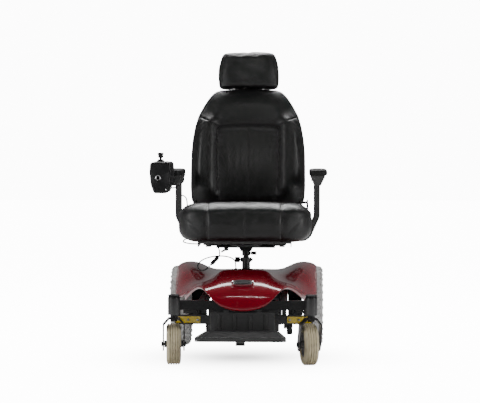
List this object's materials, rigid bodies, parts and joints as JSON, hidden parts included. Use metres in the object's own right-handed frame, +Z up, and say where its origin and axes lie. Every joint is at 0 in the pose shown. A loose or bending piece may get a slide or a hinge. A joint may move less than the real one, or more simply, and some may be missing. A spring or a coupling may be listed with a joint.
{
  "type": "power wheelchair",
  "caption": "Power wheelchair: captain-style seat on a mast over a glossy red shrouded base with large rear drive wheels and front casters.",
  "frame": {"origin": "bottom centre of the whole chair on the floor, the leads apart", "axes": "+Z up, -Y the way the chair faces, +X to the left of the sitter"},
  "size_m": [0.6664, 1.169, 1.1727],
  "materials": {
    "black_metal": "satin black",
    "battery_case": "matte",
    "red_shell": "high gloss",
    "badge_chrome": "polished",
    "reflector_yellow": "clear gloss",
    "red_plastic": "matte",
    "wheel_grey": "satin",
    "drive_rubber": "matte",
    "caster_rubber": "matte",
    "black_rubber": "matte",
    "black_plastic": "satin",
    "steel": "brushed",
    "black_vinyl": "semi-gloss vinyl",
    "lead_sheath": "satin"
  },
  "bodies": {
    "base": {"front_frame": "black_metal", "main_frame": "black_metal", "batteries": "battery_case", "power_module": "battery_case", "reflector_bar": "black_metal", "reflectors": "reflector_yellow", "footplate_bracket": "black_metal", "anti_tip_arms": "black_metal", "shroud": "red_shell", "badge": "badge_chrome", "mast_post": "black_metal", "drive_motor_right": "black_metal", "drive_motor_left": "black_metal", "drop_lead": "lead_sheath", "base_lead": "lead_sheath", "inline_connector": "black_plastic"},
    "drive_wheel_right": {"drive_rim_right": "wheel_grey", "drive_tyre_right": "drive_rubber"},
    "caster_right": {"caster_fork_right": "black_metal"},
    "caster_wheel_right": {"caster_rim_right": "wheel_grey", "caster_tyre_right": "caster_rubber"},
    "anti_tip_wheel_right": {"anti_tip_wheel_right": "black_rubber"},
    "freewheel_lever_right": {"freewheel_lever_right": "red_plastic"},
    "drive_wheel_left": {"drive_rim_left": "wheel_grey", "drive_tyre_left": "drive_rubber"},
    "caster_left": {"caster_fork_left": "black_metal"},
    "caster_wheel_left": {"caster_rim_left": "wheel_grey", "caster_tyre_left": "caster_rubber"},
    "anti_tip_wheel_left": {"anti_tip_wheel_left": "black_rubber"},
    "freewheel_lever_left": {"freewheel_lever_left": "red_plastic"},
    "footplate": {"footplate": "black_metal"},
    "collar_knob": {"collar_knob": "black_plastic"},
    "mast": {"mast_tube": "black_metal"},
    "mast_lock": {"mast_lock_knob": "black_plastic"},
    "swivel_lever": {"swivel_lever": "black_metal"},
    "turntable": {"turntable": "black_metal"},
    "seat": {"seat_pan": "black_metal", "seat_rear_frame": "black_metal", "seat_cushion": "black_vinyl", "seat_lead": "lead_sheath"},
    "slide_lever": {"slide_lever": "black_metal"},
    "recline_lever": {"recline_lever": "black_metal"},
    "back": {"back_cushion": "black_vinyl", "back_shell": "black_plastic"},
    "headrest": {"headrest_pad": "black_vinyl", "headrest_posts": "steel"},
    "arm_post_right": {"arm_post_right": "black_metal"},
    "arm_right": {"arm_bracket_right": "black_metal", "arm_pad_right": "black_plastic", "arm_lead": "lead_sheath"},
    "arm_post_left": {"arm_post_left": "black_metal"},
    "arm_left": {"arm_bracket_left": "black_metal", "arm_pad_left": "black_plastic"},
    "controller": {"controller_housing": "black_plastic", "controller_arm": "black_metal", "joystick_boot": "black_rubber"},
    "gimbal": {"joystick_gimbal": "steel"},
    "joystick": {"joystick": "black_plastic"},
    "power_button": {"power_button": "black_plastic"},
    "horn_button": {"horn_button": "black_plastic"}
  },
  "joints": [
    {"name": "drive_roll_right", "type": "hinge", "parent": "base", "child": "drive_wheel_right", "pos_m": [-0.24077, 0.2785, 0.159], "axis": [1, 0, 0], "continuous": true},
    {"name": "caster_swivel_right", "type": "hinge", "parent": "base", "child": "caster_right", "pos_m": [-0.22777, -0.3265, 0.188], "axis": [0, 0, 1], "continuous": true},
    {"name": "caster_roll_right", "type": "hinge", "parent": "caster_right", "child": "caster_wheel_right", "pos_m": [-0.23201, -0.2817, 0.076], "axis": [0.9956, 0.0941, 0], "continuous": true},
    {"name": "anti_tip_roll_right", "type": "hinge", "parent": "base", "child": "anti_tip_wheel_right", "pos_m": [-0.14607, 0.5495, 0.045], "axis": [1, 0, 0], "continuous": true},
    {"name": "freewheel_right", "type": "hinge", "parent": "base", "child": "freewheel_lever_right", "pos_m": [-0.17077, 0.0485, 0.159], "axis": [0, -1, 0], "range_deg": [0, 60]},
    {"name": "drive_roll_left", "type": "hinge", "parent": "base", "child": "drive_wheel_left", "pos_m": [0.28123, 0.2785, 0.159], "axis": [1, 0, 0], "continuous": true},
    {"name": "caster_swivel_left", "type": "hinge", "parent": "base", "child": "caster_left", "pos_m": [0.26823, -0.3265, 0.188], "axis": [0, 0, 1], "continuous": true},
    {"name": "caster_roll_left", "type": "hinge", "parent": "caster_left", "child": "caster_wheel_left", "pos_m": [0.26041, -0.28218, 0.076], "axis": [0.9848, 0.1736, 0], "continuous": true},
    {"name": "anti_tip_roll_left", "type": "hinge", "parent": "base", "child": "anti_tip_wheel_left", "pos_m": [0.18653, 0.5495, 0.045], "axis": [1, 0, 0], "continuous": true},
    {"name": "freewheel_left", "type": "hinge", "parent": "base", "child": "freewheel_lever_left", "pos_m": [0.21123, 0.0485, 0.159], "axis": [0, 1, 0], "range_deg": [0, 60]},
    {"name": "footplate_fold", "type": "hinge", "parent": "base", "child": "footplate", "pos_m": [0.02023, -0.3585, 0.125], "axis": [-1, 0, 0], "range_deg": [0, 85]},
    {"name": "collar_knob_turn", "type": "hinge", "parent": "base", "child": "collar_knob", "pos_m": [-0.00077, 0.1135, 0.35365], "axis": [1, 0, 0], "continuous": true},
    {"name": "mast_height", "type": "slide", "parent": "base", "child": "mast", "axis": [0, 0, 1], "range_m": [0, 0.05]},
    {"name": "mast_lock_turn", "type": "hinge", "parent": "mast", "child": "mast_lock", "pos_m": [0.03623, 0.1135, 0.379], "axis": [1, 0, 0], "continuous": true},
    {"name": "swivel_lever_turn", "type": "hinge", "parent": "mast", "child": "swivel_lever", "pos_m": [-0.05477, 0.0735, 0.397], "axis": [0, 0, 1], "range_deg": [0, 20]},
    {"name": "seat_swivel", "type": "hinge", "parent": "mast", "child": "turntable", "pos_m": [0.02023, 0.1135, 0.4103], "axis": [0, 0, 1], "range_deg": [-90, 90]},
    {"name": "seat_slide", "type": "slide", "parent": "turntable", "child": "seat", "axis": [0, -1, 0], "range_m": [-0.04, 0.06]},
    {"name": "slide_lever_turn", "type": "hinge", "parent": "seat", "child": "slide_lever", "pos_m": [0.13223, -0.0165, 0.423], "axis": [0, 0, 1], "range_deg": [-20, 0]},
    {"name": "recline_lever_turn", "type": "hinge", "parent": "seat", "child": "recline_lever", "pos_m": [0.25823, 0.3455, 0.565], "axis": [1, 0, 0], "range_deg": [0, 30]},
    {"name": "back_recline", "type": "hinge", "parent": "seat", "child": "back", "pos_m": [0.02023, 0.3455, 0.565], "axis": [-1, 0, 0], "range_deg": [-50, 30]},
    {"name": "headrest_height", "type": "slide", "parent": "back", "child": "headrest", "axis": [0, 0.2079, 0.9781], "range_m": [0, 0.06]},
    {"name": "arm_width_right", "type": "slide", "parent": "seat", "child": "arm_post_right", "axis": [-1, 0, 0], "range_m": [0, 0.04]},
    {"name": "arm_flip_right", "type": "hinge", "parent": "arm_post_right", "child": "arm_right", "pos_m": [-0.25477, 0.3215, 0.66], "axis": [-1, 0, 0], "range_deg": [0, 100]},
    {"name": "arm_width_left", "type": "slide", "parent": "seat", "child": "arm_post_left", "axis": [1, 0, 0], "range_m": [0, 0.04]},
    {"name": "arm_flip_left", "type": "hinge", "parent": "arm_post_left", "child": "arm_left", "pos_m": [0.29523, 0.3215, 0.66], "axis": [-1, 0, 0], "range_deg": [0, 100]},
    {"name": "controller_reach", "type": "slide", "parent": "arm_right", "child": "controller", "axis": [0, -1, 0], "range_m": [0, 0.06]},
    {"name": "joystick_fore_aft", "type": "hinge", "parent": "controller", "child": "gimbal", "pos_m": [-0.29377, -0.0865, 0.726], "axis": [1, 0, 0], "range_deg": [-15, 15], "stiffness_Nm_per_rad": 0.2},
    {"name": "joystick_side", "type": "hinge", "parent": "gimbal", "child": "joystick", "pos_m": [-0.29377, -0.0865, 0.726], "axis": [0, 1, 0], "range_deg": [-15, 15], "stiffness_Nm_per_rad": 0.2},
    {"name": "power_button_press", "type": "slide", "parent": "controller", "child": "power_button", "axis": [0, 0, -1], "range_m": [0, 0.0015], "stiffness_N_per_m": 400, "springref_m": -0.0005},
    {"name": "horn_button_press", "type": "slide", "parent": "controller", "child": "horn_button", "axis": [0, 0, -1], "range_m": [0, 0.0015], "stiffness_N_per_m": 400, "springref_m": -0.0005}
  ]
}
